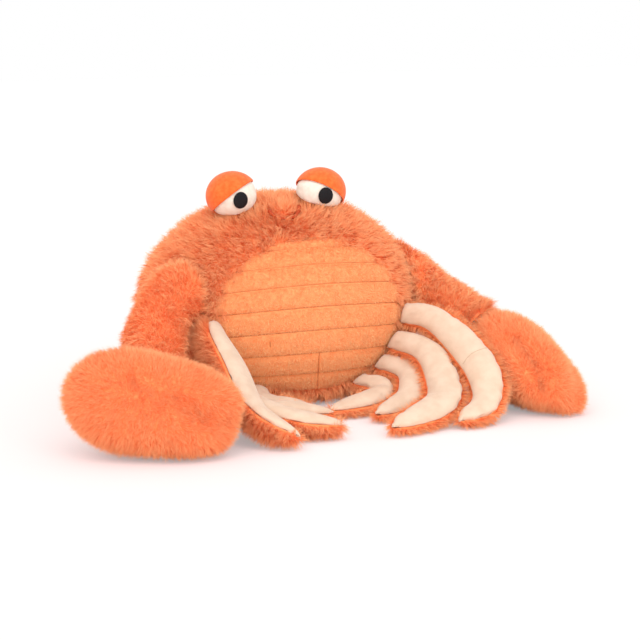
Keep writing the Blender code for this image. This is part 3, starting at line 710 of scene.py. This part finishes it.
def before_eyes(points):
    """How near each point is to the front of an eye."""
    found = np.zeros(len(points))
    for side in SIDES:
        low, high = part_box(f"eye_white_{side}")
        middle, radius = (low + high) / 2, (high.x - low.x) / 2
        off = np.linalg.norm(points - np.array(middle), axis=1) - radius
        found += np.exp(-(np.clip(off, 0, None) / EYE_REACH) ** 2) * (points[:, 1] < middle.y)
    return found


def body_comb(points):
    """Away from the muzzle, but over the belly's border and up before the eyes."""
    near, inward = belly_border(points)
    way = away_from(MUZZLE)(points) + near[:, None] * inward
    way = way + 4.0 * under_belly(points)[:, None] * np.array([0.0, -0.4, -1.0])
    return unit(way + 3.0 * before_eyes(points)[:, None] * np.array([0.0, 0.0, 1.0]))


def body_density(points):
    """Share of the full number of strands: less towards the back, whose strands are as wide."""
    return BACK_SHARE + (1 - BACK_SHARE) * np.clip((DENSE_UNTIL - points[:, 1]) / THINNING, 0, 1)


def make_body():
    """Body's skin and its fur, in three parts side by side; gives the skin back."""
    skin = finer("body_cover", 2, ("body_filling", "bean_pouch"), OUTER_HEIGHT["body"])
    outer = outer_of(skin)
    pressed(skin, outer, BODY_PRESS, "body_filling")
    smile, cheek = ([tuple(place) for place, _ in seen_points(skin, line)] for line in (SMILE, CHEEK))
    points = points_of(skin)
    dented(skin, outer, hollow(points, smile, SMILE_DEPTH, SMILE_HALF_WIDTH)
           + hollow(points, cheek, CHEEK_SHARE * SMILE_DEPTH, SMILE_HALF_WIDTH))
    show("body_cloth", skin, FUR_CLOTH, ["body_cover"])
    points = points_of(skin)
    furry = (outer > FURRY) & (points[:, 2] > BODY_FUR_FROM)
    neighbours = tree_of(*(f"leg_{kind}_{leg}" for kind in ("back", "lining") for leg in LEGS))
    aside = points[:, 0]
    parts = (aside < -BODY_SPLIT, np.abs(aside) < BODY_SPLIT + PART_OVERLAP, aside > BODY_SPLIT)

    def trim(roots):
        near = hollow(roots, smile, 1.0, SMILE_HALF_WIDTH)
        ends = sum(hollow(roots, end, 1.0, SMILE_DIMPLE_SHADE_HALF_WIDTH) for end in (smile[:2], smile[-2:]))
        fold = hollow(roots, cheek, 1.0, CHEEK_HALF_WIDTH)
        hem = HEM_LENGTH * np.clip(1 - roots[:, 2] / HEM_HEIGHT, 0, 1)
        hem = hem + 0.4 * np.minimum(belly_border(roots)[0], 0)
        share = 1 - 0.75 * np.minimum(near, 1) - 0.20 * fold + 0.40 * before_eyes(roots) + hem
        # the second share is painted shade: fur darker in the smile's crease, at its ends and in the
        # cheek's fold
        return share, 0.40 * near + 0.20 * ends + 0.25 * fold

    for number, part in enumerate(parts, 1):
        strands = grow(f"body_fur_{number}", skin, furry & part, BODY_STRANDS, BODY_NAP, body_comb,
                       number, neighbours, trim, body_density)
        show(f"body_fur_{number}", strands, FUR)
    return skin


def rib_edges(half, body_half):
    """Grooves and ends of the belly, from the lowest, as shares of its half height."""
    edges = [1.0]
    angle = TOP_GROOVE
    for rib in range(RIB_COUNT - 1):
        height = body_half.z * math.sin(angle)
        share = height / half.z
        for _ in range(6):
            share = (height - RIB_ARCH * (1 - share * share)) / half.z
        edges.append(share - GROOVE_SINK * (1.2 - 0.3 * share))
        angle -= RIB_ANGLE + RIB_ANGLE_GROWTH * rib
    return [-BELLY_TUCK] + edges[:0:-1] + [BELLY_TUCK]


def belly_grid():
    """Points of the panel's front, row by row from the lowest, and which of them are sewn down."""
    low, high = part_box("body_cover")
    body_half = Vector(((high.x - low.x) / 2, high.y, high.z - BODY_CENTRE.z))
    low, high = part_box("belly_panel")
    half, shift = (high - low) / 2, (low.x + high.x) / 2
    edges = rib_edges(half, body_half)
    points, sewn = [], []
    for row in range(BELLY_ROWS + 1):
        rib = min(row // ROWS_PER_RIB, RIB_COUNT - 1)
        in_rib = row / ROWS_PER_RIB - rib
        v = edges[rib] + (edges[rib + 1] - edges[rib]) * in_rib
        for column in range(BELLY_COLUMNS + 1):
            u = 2 * column / BELLY_COLUMNS - 1
            spread = max(0.0, 1 - (v / BELLY_TUCK) ** 2)
            x = shift + half.x * BELLY_TUCK * u * math.sqrt(spread)
            z = half.z * v + RIB_ARCH * (1 - u * u) * spread
            left_over = 1 - (x / body_half.x) ** 2 - (z / body_half.z) ** 2
            way = Vector((x, -body_half.y * math.sqrt(left_over), z))
            inward = (1 - u * u) * spread
            sink = BELLY_EDGE_SINK + BELLY_PRESS - BELLY_BULGE * inward
            off_groove = min(in_rib, 1 - in_rib) * half.z * (edges[rib + 1] - edges[rib])
            groove = math.exp(-(off_groove / GROOVE_HALF_WIDTH) ** 2) if 0 < row < BELLY_ROWS else 0.0
            points.append(BODY_CENTRE + way.normalized() * (way.length - sink - GROOVE_DEPTH * groove))
            border = row in (0, BELLY_ROWS) or column in (0, BELLY_COLUMNS)
            sewn.append(border or off_groove < 1e-6)
    return points, sewn


def groove_lines(mesh):
    """Lines of the belly's grooves and darts on its skin."""
    points = points_of(mesh)
    starts = [row * ROW_POINTS for row in range(ROWS_PER_RIB, BELLY_ROWS, ROWS_PER_RIB)]
    lines = [points[start:start + ROW_POINTS] for start in starts]
    return lines + [np.array([place for place, _ in seen_points(mesh, between(dart, 8))]) for dart in DARTS]


def make_belly():
    """Panel with puffed ribs between sewn grooves, on the same round as the body, and its pile."""
    points, sewn = belly_grid()
    count = len(points)
    starts = [row * ROW_POINTS + column for row in range(BELLY_ROWS) for column in range(BELLY_COLUMNS)]
    faces = [(i, i + 1, i + ROW_POINTS + 1, i + ROW_POINTS) for i in starts]
    mesh = bpy.data.meshes.new("belly")
    mesh.from_pydata([tuple(point) for point in points], [], faces)
    mesh = modified(mesh, "SOLIDIFY", thickness=BELLY_SHELL, offset=-1.0)
    front = np.arange(len(mesh.vertices)) < count
    puff(mesh, np.array(sewn + [True] * (len(mesh.vertices) - count)), *BELLY_PUFF)
    show("belly_cloth", welded(mesh), BELLY_CLOTH, ["belly_panel"])
    grooves = groove_lines(mesh)
    for number, groove in enumerate(grooves, 1):
        line = [Vector(point) for point in groove[1:-1]]
        thread = tube(f"groove_thread_{number}", line, GROOVE_THREAD_RADIUS, 4)
        show(f"groove_thread_{number}", thread, GROOVE_THREAD)

    def trim(roots):
        off = np.minimum.reduce([distance_to_line(roots, groove[::4]) for groove in grooves])
        # pile darker near a groove: painted shade
        return np.where(off < BARE_GROOVE, 0.0, 1.0), 0.40 * np.exp(-(off / GROOVE_SHADE) ** 2)

    comb = away_from(BODY_CENTRE + Vector((0, 0, 0.30)))
    pile = grow("belly_pile", mesh, front, BELLY_STRANDS, BELLY_NAP, comb, 21, trim=trim)
    show("belly_pile", pile, BELLY_PILE)


def tube(name, line, radius, sides=6):
    """Round thread along a line, closed at both ends; radius is one length or one for each point."""
    radii = np.broadcast_to(radius, len(line))
    data = bmesh.new()
    rings = []
    for i, point in enumerate(line):
        ahead = (line[min(i + 1, len(line) - 1)] - line[max(i - 1, 0)]).normalized()
        across = ahead.orthogonal().normalized()
        if rings:
            across = (last - ahead * last.dot(ahead)).normalized()
        last = across
        other = ahead.cross(across)
        rings.append([data.verts.new(point + (across * math.cos(turn) + other * math.sin(turn)) * radii[i])
                      for turn in (2 * math.pi * k / sides for k in range(sides))])
    for low, high in zip(rings, rings[1:]):
        for k in range(sides):
            data.faces.new((low[k], low[(k + 1) % sides], high[(k + 1) % sides], high[k]))
    data.faces.new(rings[0])
    data.faces.new(rings[-1])
    bmesh.ops.recalc_face_normals(data, faces=data.faces)
    mesh = bpy.data.meshes.new(name)
    data.to_mesh(mesh)
    data.free()
    return mesh


def make_smile(skin):
    """Thread that draws the fur in, lying at the bottom of the smile."""
    nearer = view_axes()[0] * SMILE_THREAD_NEARNESS
    line = [place + nearer for place, _ in seen_points(skin, between(SMILE, 4))]
    radii = SMILE_THREAD_RADIUS * (0.5 + 0.5 * np.abs(np.linspace(-1, 1, len(line))))
    show("smile_thread", tube("smile_thread", line, radii), SMILE_THREAD)


# Limbs


def make_arm(side):
    """Arm whose fur turns back over its root and is longer at the wrist."""
    skin = finer(f"arm_cover_{side}", 2, (f"arm_filling_{side}",), OUTER_HEIGHT["limb"])
    furry = open_air(skin, f"arm_filling_{side}")
    pressed(skin, outer_of(skin), LIMB_PRESS, f"arm_filling_{side}")
    show(f"arm_cloth_{side}", skin, FUR_CLOTH, [f"arm_cover_{side}"])
    neighbours = tree_of("belly_panel", *(f"leg_lining_{leg}" for leg in LEGS))
    shoulder = BODY_CENTRE + Vector((0, 0, 0.02))
    body, claw = tree_of("body_cover"), tree_of(f"claw_cover_{side}")

    def comb(points):
        near = np.exp(-(heights_over(points, body) / ROOT_REACH) ** 2)
        return away_from(shoulder)(points) * (1 - 1.8 * near)[:, None]

    def trim(roots):
        return 1 + 0.4 * np.exp(-(heights_over(roots, claw) / ROOT_REACH) ** 2), 0.0

    strands = grow(f"arm_fur_{side}", skin, furry, ARM_STRANDS, ARM_NAP, comb, 31 + SIDES.index(side),
                   neighbours, trim)
    show(f"arm_fur_{side}", strands, LIMB_FUR)


def make_stuffing(node, line, depth, half_width):
    """A filling with the same dent as the cover over it."""
    mesh = finer(node, 1)
    dented(mesh, 1.0, hollow(points_of(mesh), line, depth, half_width))
    show(f"{node}_dented", mesh, FIBRE, [node])


def make_claw(side):
    """Claw with a soft crease between its pincers."""
    skin = finer(f"claw_cover_{side}", 2, (f"claw_filling_{side}",), OUTER_HEIGHT["limb"])
    outer = outer_of(skin)
    pressed(skin, outer, LIMB_PRESS, f"claw_filling_{side}")
    dented(skin, outer, hollow(points_of(skin), CLAW_CREASE[side], CREASE_DEPTH[side], CREASE_HALF_WIDTH))
    make_stuffing(f"claw_filling_{side}", CLAW_CREASE[side], STUFFING_DENT * CREASE_DEPTH[side],
                  STUFFING_DENT * CREASE_HALF_WIDTH)
    show(f"claw_cloth_{side}", skin, FUR_CLOTH, [f"claw_cover_{side}"])

    def trim(roots):
        near = hollow(roots, CLAW_CREASE[side], 1.0, CREASE_HALF_WIDTH)
        # fur darker near the crease: painted shade
        return 1 - 0.15 * near, CREASE_SHADE[side] * near

    furry = (outer > FURRY) & (points_of(skin)[:, 2] > CLAW_FUR_FROM)
    neighbours = tree_of(*(f"leg_lining_{leg}" for leg in LEGS))
    strands = grow(f"claw_fur_{side}", skin, furry, CLAW_STRANDS, CLAW_NAP, away_from(CLAW_FOCUS[side]),
                   41 + SIDES.index(side), neighbours, trim)
    show(f"claw_fur_{side}", strands, LIMB_FUR)


def photo_ray(x, y):
    """Direction from the camera through a pixel of the photograph."""
    back, right, up = view_axes()
    half = PHOTO_SIZE / 2
    aside, rise = (x - half) / PIXELS_PER_METRE, (half - y) / PIXELS_PER_METRE
    return -back * VIEW_DISTANCE + right * aside + up * rise


def view_axes():
    """Directions from the target to the camera, to the picture's right and to its top."""
    back = Vector((math.sin(VIEW_TURN) * math.cos(VIEW_RISE), -math.cos(VIEW_TURN) * math.cos(VIEW_RISE),
                   math.sin(VIEW_RISE)))
    right = Vector((math.cos(VIEW_TURN), math.sin(VIEW_TURN), 0.0))
    return back, right, back.cross(right)


def between(pixels, steps):
    """A line of pixels with steps between each two of them."""
    found = [(x + (far_x - x) * k / steps, y + (far_y - y) * k / steps)
             for (x, y), (far_x, far_y) in zip(pixels, pixels[1:]) for k in range(steps)]
    return found + [pixels[-1]]


def seen_points(mesh, pixels):
    """Points of a mesh that the camera sees at the photograph's pixels, with their normals."""
    tree = BVHTree.FromPolygons([vertex.co for vertex in mesh.vertices],
                                [polygon.vertices for polygon in mesh.polygons])
    eye = VIEW_TARGET + view_axes()[0] * VIEW_DISTANCE
    hits = [tree.ray_cast(eye, photo_ray(x, y).normalized()) for x, y in pixels]
    return [(place, normal) for place, normal, _, _ in hits if place]


def make_lining(leg):
    """Suede side of a leg, with its knee fold."""
    lining = finer(f"leg_lining_{leg}", 2, (f"leg_filling_{leg}",), OUTER_HEIGHT["lining"])
    outer = outer_of(lining)
    puff(lining, outer < 0.9, *LINING_PUFF)
    if leg in KNEE_SEAMS:
        fold = [tuple(place) for place, _ in seen_points(lining, between(KNEE_SEAMS[leg], 8))]
        dented(lining, outer, hollow(points_of(lining), fold, SEAM_DEPTH, SEAM_HALF_WIDTH))
    if leg in SEWN_KNEES:
        thread = [place + normal * 0.4 * THREAD_RADIUS for place, normal in
                  seen_points(lining, between(KNEE_SEAMS[leg], 8))]
        seam = tube(f"knee_seam_{leg}", thread, THREAD_RADIUS)
        show(f"knee_seam_{leg}", seam, SEAM_THREAD)
    show(f"leg_suede_{leg}", lining, SUEDE, [f"leg_lining_{leg}"])


def make_leg_back(leg):
    """Furry side of a leg."""
    back = finer(f"leg_back_{leg}", 2, (f"leg_filling_{leg}",), OUTER_HEIGHT["leg"])
    furry = open_air(back, f"leg_filling_{leg}", f"leg_lining_{leg}")
    pressed(back, outer_of(back), LEG_PRESS, f"leg_filling_{leg}")
    show(f"leg_cloth_{leg}", back, FUR_CLOTH, [f"leg_back_{leg}"])
    root = BODY_CENTRE + Vector((0, 0, -0.02))
    neighbours = tree_of("belly_panel", *(f"leg_lining_{other}" for other in LEGS if other != leg))
    stretch = LEG_STRETCH[leg.split("_")[0]]
    strands = grow(f"leg_fur_{leg}", back, furry, LEG_STRANDS[leg[-1]], LEG_NAP, away_from(root),
                   51 + LEGS.index(leg), neighbours, lambda roots: (stretch, 0.0))
    show(f"leg_fur_{leg}", strands, LIMB_FUR)


def make_eye(side):
    ball, lid, pupil = (finer(f"{kind}_{side}", 2) for kind in ("eye_white", "eye_lid", "pupil"))
    show(f"eye_ball_{side}", ball, EYE_CLOTH, [f"eye_white_{side}"])
    show(f"eye_felt_{side}", lid, LID_FELT, [f"eye_lid_{side}"])
    show(f"pupil_patch_{side}", pupil, PUPIL_THREAD, [f"pupil_{side}"])


def dress_inner_nodes():
    """Filling and pouch keep their CAD shapes, out of sight."""
    for name, node in NODES.items():
        if "filling" in name or name == "bean_pouch":
            node.data.materials.clear()
            node.data.materials.append(POUCH if name == "bean_pouch" else FIBRE)


# Floor, light and camera


def make_floor():
    """Floor that keeps the shadow and is partly plain white to the camera."""
    mesh = bpy.data.meshes.new("floor")
    half = FLOOR_SIZE / 2
    corners = [(-half, -half, 0), (half, -half, 0), (half, half, 0), (-half, half, 0)]
    mesh.from_pydata(corners, [], [(0, 1, 2, 3)])
    made, tree, shader = new_material("floor", 0.9, 0.0, 0.0)
    # pink tint: painted bounce light from the fur
    shader.inputs["Base Color"].default_value = (*FLOOR_PAINTED_BOUNCE_COLOUR, 1.0)
    glow = tree.nodes.new("ShaderNodeEmission")
    glow.inputs["Strength"].default_value = 1.0
    mix = tree.nodes.new("ShaderNodeMixShader")
    seen = tree.nodes.new("ShaderNodeLightPath")
    share = tree.nodes.new("ShaderNodeMath")
    share.operation = "MULTIPLY"
    share.inputs[1].default_value = FLOOR_GLOW
    tree.links.new(seen.outputs["Is Camera Ray"], share.inputs[0])
    tree.links.new(share.outputs["Value"], mix.inputs["Fac"])
    tree.links.new(shader.outputs["BSDF"], mix.inputs[1])
    tree.links.new(glow.outputs["Emission"], mix.inputs[2])
    tree.links.new(mix.outputs["Shader"], tree.nodes["Material Output"].inputs["Surface"])
    mesh.materials.append(made)
    floor = bpy.data.objects.new("floor", mesh)
    bpy.context.scene.collection.objects.link(floor)


def make_light():
    """Even sky, plain white to the camera, and a soft key lamp."""
    world = bpy.data.worlds.new("studio")
    bpy.context.scene.world = world
    world.use_nodes = True
    tree = world.node_tree
    sky = tree.nodes["Background"]
    sky.inputs["Strength"].default_value = SKY_LEVEL
    sky.inputs["Color"].default_value = (1.0, 1.0, 1.0, 1.0)
    white = tree.nodes.new("ShaderNodeBackground")
    white.inputs["Color"].default_value = (1.0, 1.0, 1.0, 1.0)
    white.inputs["Strength"].default_value = 1.0
    mix = tree.nodes.new("ShaderNodeMixShader")
    seen = tree.nodes.new("ShaderNodeLightPath")
    tree.links.new(seen.outputs["Is Camera Ray"], mix.inputs["Fac"])
    tree.links.new(sky.outputs["Background"], mix.inputs[1])
    tree.links.new(white.outputs["Background"], mix.inputs[2])
    tree.links.new(mix.outputs["Shader"], tree.nodes["World Output"].inputs["Surface"])
    key = bpy.data.lights.new("key", "SUN")
    key.energy = KEY_LEVEL
    key.angle = KEY_SOFTNESS
    lamp = bpy.data.objects.new("key", key)
    lamp.rotation_euler = KEY_FROM.to_track_quat("Z", "Y").to_euler()
    bpy.context.scene.collection.objects.link(lamp)


def make_camera():
    back, right, up = view_axes()
    data = bpy.data.cameras.new("camera")
    data.sensor_width = SENSOR
    data.lens = SENSOR * PIXELS_PER_METRE * VIEW_DISTANCE / PHOTO_SIZE
    camera = bpy.data.objects.new("camera", data)
    turn = Matrix((right, up, back)).transposed()
    camera.matrix_world = Matrix.Translation(VIEW_TARGET + back * VIEW_DISTANCE) @ turn.to_4x4()
    bpy.context.scene.collection.objects.link(camera)
    bpy.context.scene.camera = camera


noise.seed_set(NOISE_SEED)
make_camera()
make_light()
make_floor()
bpy.context.scene.view_settings.view_transform = "Standard"
make_smile(make_body())
make_belly()
for side in SIDES:
    make_eye(side)
    make_arm(side)
    make_claw(side)
for leg in LEGS:
    make_lining(leg)
    make_leg_back(leg)
dress_inner_nodes()
